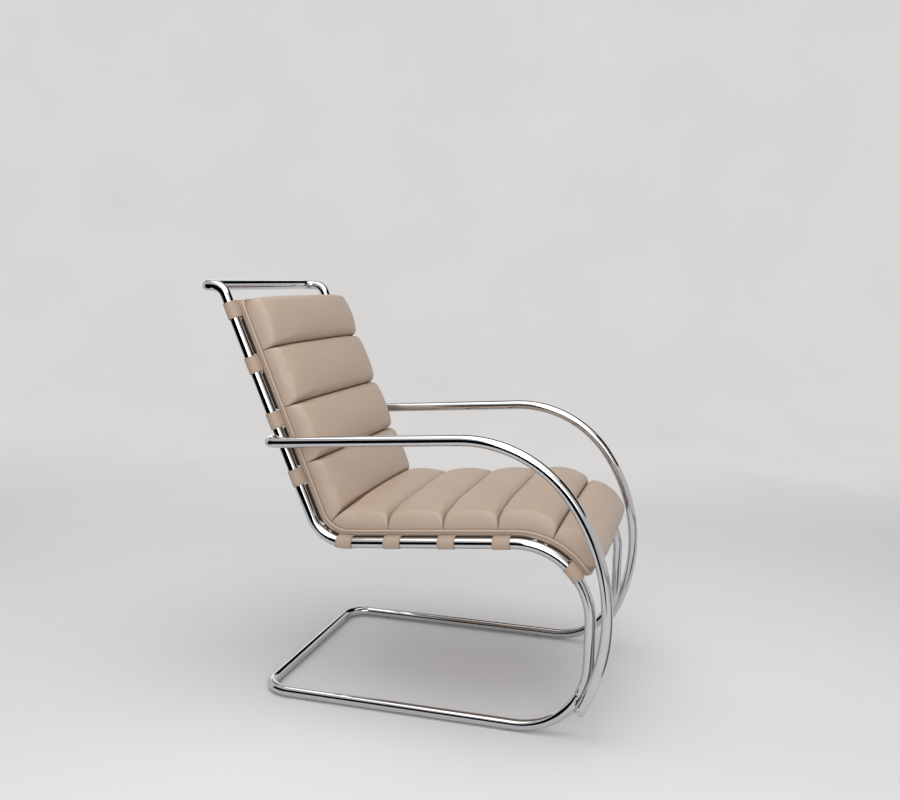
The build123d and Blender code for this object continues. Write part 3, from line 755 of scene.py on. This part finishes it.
class CHAIR_OT_rolls(bpy.types.Operator):
    """Build the nine filled leather rolls of the cushion"""

    bl_idname = "chair.rolls"
    bl_label = "Cushion rolls"

    # Half the space between rolls, the end corners' radius, the shoulder's share
    # of a stuffed roll's rise, and the furthest a point moves, also along the roll.
    GAP, CORNER, SHOULDER, MOST, MOST_ALONG = 0.4, 12.7, 0.82, 12.0, 2.5

    def execute(self, context):
        lines, sizes, look = settings()
        # the cushion leather takes painted crease shade from the number stored on each roll
        leather = kept(leather_material, "cushion leather", look.leather, "crease", 1.0, 0.40)
        for number, pitch in enumerate(SEAT_PITCHES + BACK_PITCHES):
            kind, count = ("seat", number + 1) if number < 5 else ("back", number - 4)
            self.roll(lines, sizes, "%s_roll_%d" % (kind, count), number, pitch, leather)
        return {"FINISHED"}

    def heights(self, lines, sizes, x):
        """Crown, channel and the part of their difference that is there before stuffing."""
        depth = lines.roll_half - np.abs(x)
        crown = 9.0 + (sizes.crown * 1000.0 - 9.0) * drawn_in(depth, 13.0, 48.0, 0.62)
        channel = 4.5 + (sizes.channel * 1000.0 - 4.5) * drawn_in(depth, 12.0, 42.0, 0.40)
        return crown, channel, 1.0 - 0.2 * (1.0 - np.exp(-depth / 50.0))

    def stuffing(self, lines, sizes, half):
        """The swelling of a roll from its flatter cut-out shape, on an even grid, with its places."""
        fine = np.linspace(0.0, lines.roll_half, 3000)
        crown, _, _ = self.heights(lines, sizes, fine)
        walked = np.concatenate([[0.0], np.cumsum(np.hypot(np.diff(fine), np.diff(crown)))])
        x = np.interp(np.linspace(0.0, walked[-1], 46), walked, fine)
        x = np.concatenate([x[::-1], -x[1:]])
        crown, channel, start = self.heights(lines, sizes, x)
        crown = channel + start * (crown - channel)
        a, h, at = roll_outline(half, channel, crown, np.full_like(x, self.SHOULDER), 8)
        top = np.stack([np.broadcast_to(x[:, None], a.shape), a, h], axis=-1)
        back = np.linspace(2 * half, 0.0, a.shape[1])
        low = np.stack([top[..., 0], np.broadcast_to(back, a.shape), np.full(a.shape, -3.0)], axis=-1)
        sewn = np.ones((len(x), 2 * len(at)), bool)
        sewn[1:-1, 5:len(at) - 5] = False
        return x, at, blown_up(np.concatenate([top, low], axis=1), sewn)[:, :len(at)]

    def swollen(self, lines, sizes, half, x, shape):
        """A roll's outline once stuffed: moves along it, places across and heights.

        The swelling brings the crown to its full height. It is smoothed and read off on
        the finer grid, and takes no point more than MOST or past the plane between rolls.
        """
        channel, crown, start = shape
        flat = channel + start * (crown - channel)
        a, h, at = roll_outline(half, channel, flat, np.full_like(x, self.SHOULDER), 16)
        old_x, old_at, moved = self.stuffing(lines, sizes, half)
        third, top = len(old_x) // 3, len(old_at) // 2
        full = (sizes.crown - sizes.channel) * 1000.0 * (1.0 - start.min())
        moved = moved * (full / np.median(moved[third:-third, top, 2]))
        for _ in range(2):
            moved[1:-1] = 0.25 * (moved[:-2] + 2 * moved[1:-1] + moved[2:])
            moved[:, 1:-1] = 0.25 * (moved[:, :-2] + 2 * moved[:, 1:-1] + moved[:, 2:])
        moved = between(moved, np.interp(-x, -old_x, np.arange(len(old_x))))
        cols = np.interp(at, old_at, np.arange(len(old_at)))
        moved = np.swapaxes(between(np.swapaxes(moved, 0, 1), cols), 0, 1)
        far = np.linalg.norm(moved, axis=-1, keepdims=True)
        moved = moved * np.minimum(1.0, self.MOST / np.maximum(far, 1e-6))
        return (np.clip(moved[..., 0], -self.MOST_ALONG, self.MOST_ALONG),
                np.clip(a + moved[..., 1], 0.0, 2 * half), h + moved[..., 2])

    def roll(self, lines, sizes, name, number, pitch, leather):
        """One roll: its top over the cuts along x, its foot on the base panel.

        Its leather is stuffed as cloth, from a shape up to a fifth flatter.
        The crown varies by a seeded ripple, and small puckers follow the seams.
        """
        half = pitch / 2 - self.GAP
        end_x = lines.roll_half - 120.0 * np.linspace(0.0, 1.0, 34) ** 2.0
        middle = np.linspace(end_x[-1], -end_x[-1], 56)[1:-1]
        x = np.concatenate([end_x, middle, -end_x[::-1]])
        crown, channel, start = self.heights(lines, sizes, x)
        level = channel / channel.max()
        crown = crown + 0.9 * ripple(x, number, 4, 150.0, 420.0) * level
        dx, a, h = self.swollen(lines, sizes, half, x, (channel, crown, start))
        near = np.minimum(a, 2 * half - a)
        for side, edge in ((0, a), (1, 2 * half - a)):
            pucker = ripple(x, 40 + 2 * number + side, 9, 9.0, 34.0)[:, None]
            fade = np.exp(-((edge - 7.0) / 6.0) ** 2) * (h > 0.6 * channel[:, None]) * level[:, None] ** 3
            h = h + 0.42 * pucker * fade
        cut = corner_cut(self.CORNER, np.abs(x) - (lines.roll_half - self.CORNER))
        xs = x[:, None] + np.concatenate([dx, 0.0 * dx], axis=1)
        foot = np.linspace(2 * half - 0.5, 0.5, a.shape[1])
        a = np.concatenate([a, np.broadcast_to(foot, a.shape)], axis=1)
        h = np.concatenate([h, 0.0 * h], axis=1)
        if number == 0:
            a = a + cut[:, None] * (1 - a / (2 * half))
        if number == 8:
            a = a - cut[:, None] * a / (2 * half)
        walked = np.linspace(0.0, pitch, 400)
        stations = lines.side.reach(lines.edges[number], walked, lines.roll_base)
        places = np.interp(a + self.GAP, walked, stations)
        verts = lines.place(xs, lines.side.at(places, lines.roll_base + h))
        # painted shade: darker close to each seam low on the roll, and over the whole underside where it sits
        # on the panel
        crease = np.exp(-near / 2.2) * (h[:, :near.shape[1]] < channel[:, None] + 9.0)
        crease = np.concatenate([crease, np.ones_like(crease)], axis=1)
        piece = new_piece("leather_" + name, verts.reshape(-1, 3), tube_faces(*a.shape),
                          (name, name.replace("roll", "fill")), padded=0.8, crease=crease)
        dress(piece, leather)


class CHAIR_OT_edging(bpy.types.Operator):
    """Build the cushion's base panel and the welt round its edge"""

    bl_idname = "chair.edging"
    bl_label = "Cushion edging"

    SAG = 10.5

    def execute(self, context):
        lines, _, look = settings()
        welt = kept(leather_material, "welt leather", look.leather, None, 0.8, 0.40)
        # the panel's leather is the cushion's darkened to 0.92, painted shade for the panel under the cushion
        color = np.multiply(look.leather, 0.92)
        panel = kept(leather_material, "panel leather", color, "recess", 1.0, 0.5, 0.04)
        dress(self.piping(lines), welt)
        dress(self.panel(lines), panel)
        return {"FINISHED"}

    def piping(self, lines):
        """A round cord in leather, carried round the cushion's edge."""
        corner = 16.0
        front = lines.side.reach(lines.welt_front, corner, lines.welt_off)
        run = side_run(lines, lines.side, front, lines.welt_top - corner, -CUSHION_HALF, lines.welt_off)
        p, t, n = run
        top = corner_run(p[-1], t[-1], n[-1], corner, 7.5)
        points, tangents, normals = corner_run(p[0], -t[0], n[0], corner, 7.5)
        bottom = (points[::-1], -tangents[::-1], normals[::-1])
        grid = rings(*mirrored(joined(bottom, run, top)), WELT_R, 24)
        faces = grid_faces(*grid.shape[:2], True, True).tolist()
        return new_piece("cushion_piping", grid.reshape(-1, 3), faces, ("cushion_welt",))

    def panel(self, lines):
        """The cushion's underside: flat over the belts, and sagging between them.

        A closed strip's section, its lower side let down by the sag of its
        place along the chair, times a rounding at its two edges.
        """
        s0, s1 = lines.welt_front - MARGIN, lines.welt_top + MARGIN
        s = np.linspace(s0, s1, 420)
        sag = np.full_like(s, self.SAG)
        for place in SEAT_STRAPS + BACK_STRAPS:
            near = np.clip((np.abs(s - lines.top_bend - place) - 19.6) / 6.0, 0.0, 1.0)
            sag = np.minimum(sag, self.SAG * np.sqrt(1.0 - (1.0 - near) ** 2))
        for place in STRETCHERS:
            near = np.clip((np.abs(s - lines.top_bend - place) - 9.0) / 14.0, 0.0, 1.0)
            sag = np.minimum(sag, 3.9 + 6.6 * near)
        reach = np.minimum(s - s0, s1 - s)
        sag = (sag * np.clip(reach / 16.0, 0.0, 1.0))[:, None]
        wide, corner = CUSHION_HALF + MARGIN, 19.0
        cut = corner_cut(corner, corner - reach)
        half_t = PANEL / 2
        a = np.radians(np.linspace(0.0, 180.0, 15))
        edge_x, edge_y = wide - half_t + half_t * np.sin(a), half_t * np.cos(a)
        across = np.linspace(wide - half_t, half_t - wide, 60)[1:-1]
        x = np.concatenate([edge_x, across, -edge_x[::-1]])
        off = np.concatenate([edge_y, np.full_like(across, -half_t), edge_y[::-1]])
        inward = np.clip((wide - np.abs(x)) / 7.0, 0.0, 1.0)
        drop = np.where(off < 0.0, 0.43 + 0.43 * np.clip(-off / half_t, 0.0, 1.0) + 0.14 * inward, 0.0)
        drop = np.where(np.abs(off) < 1e-6, 0.43, drop)
        middle = (lines.panel_low + lines.panel_top) / 2
        offs = middle + off - drop * sag
        xs = x * (1.0 - cut[:, None] / wide)
        grid = lines.place(xs, lines.side.at(np.broadcast_to(s[:, None], offs.shape), offs))
        # painted shade: the panel's lower side goes nearly black close to its two edges, where the gap under
        # the cushion lies in shade
        recess = 1.6 * np.exp(-((wide - np.abs(xs)) / 16.0) ** 2)
        recess = recess * np.clip((middle - 3.2 - offs) / 1.5, 0.0, 1.0)
        return new_piece("cushion_panel", *closed(grid), ("cushion_base",),
                         recess=np.append(recess, [0.0, 0.0]))


# Stage
class CHAIR_OT_stage(bpy.types.Operator):
    """Lay the plain floor, hang the soft lamps and set the camera"""

    bl_idname = "chair.stage"
    bl_label = "Stage"

    def execute(self, context):
        lines, _, look = settings()
        context.scene.view_settings.view_transform = "Standard"
        self.floor(look)
        self.world(look)
        self.lamps()
        self.cards()
        self.camera(lines)
        return {"FINISHED"}

    def floor(self, look):
        """A plain floor that turns up into the backdrop on one smooth curve.

        Its height is a quarter circle of the way past the foot of the
        backdrop, measured along the camera's view, and then upright.
        """
        way = np.array([0.965, 0.262])
        out, radius, high = 2.9, 2.2, 5.0
        a = np.radians(np.linspace(0.0, 90.0, 40))
        d = np.concatenate([np.linspace(-9.0, out, 40), out + radius * np.sin(a[1:]), [out + radius]])
        z = np.concatenate([np.zeros(40), radius * (1 - np.cos(a[1:])), [high]])
        d, across = np.meshgrid(d, np.linspace(-12.0, 12.0, 40), indexing="ij")
        verts = np.stack([d * way[0] - across * way[1], d * way[1] + across * way[0],
                          np.broadcast_to(z[:, None], d.shape)], axis=-1)
        floor = mesh_object("floor", verts.reshape(-1, 3), grid_faces(*d.shape)[:, ::-1].tolist())
        floor.data.shade_smooth()
        n = Surface("plain floor", look.floor)
        cloudy, fine = n.noise(1.3, 4.0), n.noise(24.0, 4.0)
        tone = n.mix(cloudy, rgba(look.floor, 0.965), rgba(look.floor, 1.035))
        n.finish(Base_Color=n.mix(fine * 0.12, tone, rgba(look.floor, 0.9)), Roughness=0.6,
                 Specular_IOR_Level=0.2, Normal=n.bump(fine, 0.06, 0.002))
        place = n.coordinates()
        x, y = (n.add("ShaderNodeSeparateXYZ", {}, {"Vector": place}, axis) for axis in "XY")
        back = ((x * way[0] + y * way[1] - 0.75) / 2.0).clamp()
        plaster = n.mix(cloudy, rgba(look.backdrop, 0.93), rgba(look.backdrop, 1.06))
        wall = n.add("ShaderNodeEmission", {}, {"Color": plaster, "Strength": 1.0})
        share = n.seen() * back * back * (3.0 - back * 2.0)
        plain = Maths(n, n.shader.outputs[0])
        mixed = n.add("ShaderNodeMixShader", {}, {0: share, 1: plain, 2: wall})
        n.put(n.tree.nodes["Material Output"].inputs["Surface"], mixed)
        floor.data.materials.append(n.material)

    def world(self, look):
        """Even light from all round; the camera, metal and glass see the backdrop's colour."""
        world = bpy.data.worlds.new("studio")
        bpy.context.scene.world = world
        world.use_nodes = True
        n = Nodes(world.node_tree)
        color = n.mix(n.seen(), (0.43, 0.43, 0.44, 1.0), rgba(look.backdrop))
        n.put(n.tree.nodes["Background"].inputs["Color"], color)

    def lamps(self):
        """Soft rectangular lamps, each turned to a point over the chair's middle."""
        lamps = (
            ("overhead", (3.6, 3.6), 64.0, (-0.5, -0.3, 3.2), 0.3),
            ("near side", (2.6, 1.8), 45.0, (-3.3, -1.0, 1.9), 0.5),
            ("far side", (1.4, 2.2), 7.0, (2.0, 1.6, 1.8), 0.5),
        )
        for name, size, energy, place, aim in lamps:
            lamp = bpy.data.lights.new(name, "AREA")
            lamp.shape = "RECTANGLE"
            lamp.size, lamp.size_y = size
            lamp.energy = energy
            holder = bpy.data.objects.new(name, lamp)
            holder.location = place
            way = Vector((0.0, 0.0, aim)) - Vector(place)
            holder.rotation_euler = way.to_track_quat("-Z", "Y").to_euler()
            bpy.context.scene.collection.objects.link(holder)

    def cards(self):
        """Dark cards that only polished metal sees, for the dark lines in the chrome.

        Two lie on the floor, a black one beside the chair and a grey one before
        it.  Two black ones stand beside it, and one hangs before and one beyond it.
        """
        def upright(start, end, low, high):
            return [(*start, low), (*end, low), (*end, high), (*start, high)]

        def flat(*corners):
            return [(*corner, 0.004) for corner in corners]

        black, grey = (
            Surface(name, (0.0, 0.0, 0.0)).finish(
                Base_Color=(shade, shade, shade, 1.0), Roughness=1.0, Specular_IOR_Level=0.0)
            for name, shade in (("black card", 0.003), ("grey card", 0.16)))
        cards = (
            ("card_low", black, flat((-1.12, -0.42), (-1.25, 1.0), (-0.3, 1.4), (-0.2, 4.0),
                                     (-6.0, 4.0), (-6.0, -0.9), (-2.2, -0.9), (-1.5, -0.6))),
            ("card_near", black, upright((-3.2, -1.3), (-3.2, 0.15), 0.01, 0.95)),
            ("card_rear", black, upright((-3.2, 0.15), (-0.7, 3.6), 0.01, 1.9)),
            ("card_front", black, upright((-0.7, -3.1), (2.6, -3.1), 1.6, 3.3)),
            ("card_foot", grey, flat((-0.33, -0.66), (-0.62, -3.0), (0.0, -3.0), (0.06, -0.6))),
            ("card_high", black, [(1.3, -4.0, 3.4), (1.3, 4.0, 3.4), (4.2, 4.0, 2.2), (4.2, -4.0, 2.2)]),
        )
        for name, material, corners in cards:
            card = mesh_object(name, corners, [tuple(range(len(corners)))])
            card.data.materials.append(material)
            for ray in ("camera", "diffuse", "shadow", "transmission"):
                setattr(card, "visible_" + ray, False)

    def camera(self, lines):
        """The place and turn found by fitting the tubes' outlines to the photograph."""
        yaw, pitch, roll = 0.268, 0.128, -0.023
        place = Vector((-2211.1, lines.middle - 961.2, 967.9)) / 1000.0
        focal, picture, sensor = 957.87, 900.0, 36.0
        ahead = Vector((math.cos(yaw) * math.cos(pitch), math.sin(yaw) * math.cos(pitch), -math.sin(pitch)))
        right = Vector((math.sin(yaw), -math.cos(yaw), 0.0))
        down = ahead.cross(right)
        right, down = (math.cos(roll) * right + math.sin(roll) * down,
                       -math.sin(roll) * right + math.cos(roll) * down)
        data = bpy.data.cameras.new("camera")
        data.sensor_width = sensor
        data.lens = focal / picture * sensor
        holder = bpy.data.objects.new("camera", data)
        turn = Matrix((right, -down, -ahead)).transposed().to_4x4()
        holder.matrix_world = Matrix.Translation(place) @ turn
        bpy.context.scene.collection.objects.link(holder)
        bpy.context.scene.camera = holder


OPERATORS = (CHAIR_OT_tubes, CHAIR_OT_arm_ends, CHAIR_OT_fittings, CHAIR_OT_belts,
             CHAIR_OT_rolls, CHAIR_OT_edging, CHAIR_OT_stage)


class CHAIR_PT_panel(bpy.types.Panel):
    """The chair's sizes, colours and pieces, in the 3D view's sidebar"""

    bl_idname = "CHAIR_PT_panel"
    bl_label = "Lounge chair"
    bl_space_type = "VIEW_3D"
    bl_region_type = "UI"
    bl_category = "Lounge chair"

    def draw(self, context):
        for group in (context.scene.chair_sizes, context.scene.chair_look):
            for key in group.__annotations__:
                self.layout.prop(group, key)
        for operator in OPERATORS:
            self.layout.operator(operator.bl_idname)


CLASSES = (CHAIR_PG_sizes, CHAIR_PG_look, *OPERATORS, CHAIR_PT_panel)


def register():
    """Make the settings, operators and panel known to Blender."""
    for cls in CLASSES:
        bpy.utils.register_class(cls)
    bpy.types.Scene.chair_sizes = bpy.props.PointerProperty(type=CHAIR_PG_sizes)
    bpy.types.Scene.chair_look = bpy.props.PointerProperty(type=CHAIR_PG_look)


def unregister():
    """Take them away again."""
    del bpy.types.Scene.chair_look
    del bpy.types.Scene.chair_sizes
    for cls in reversed(CLASSES):
        bpy.utils.unregister_class(cls)


def main():
    """Build every piece in order."""
    register()
    for operator in OPERATORS:
        getattr(bpy.ops.chair, operator.bl_idname.split(".")[1])()


if __name__ == "__main__":
    main()
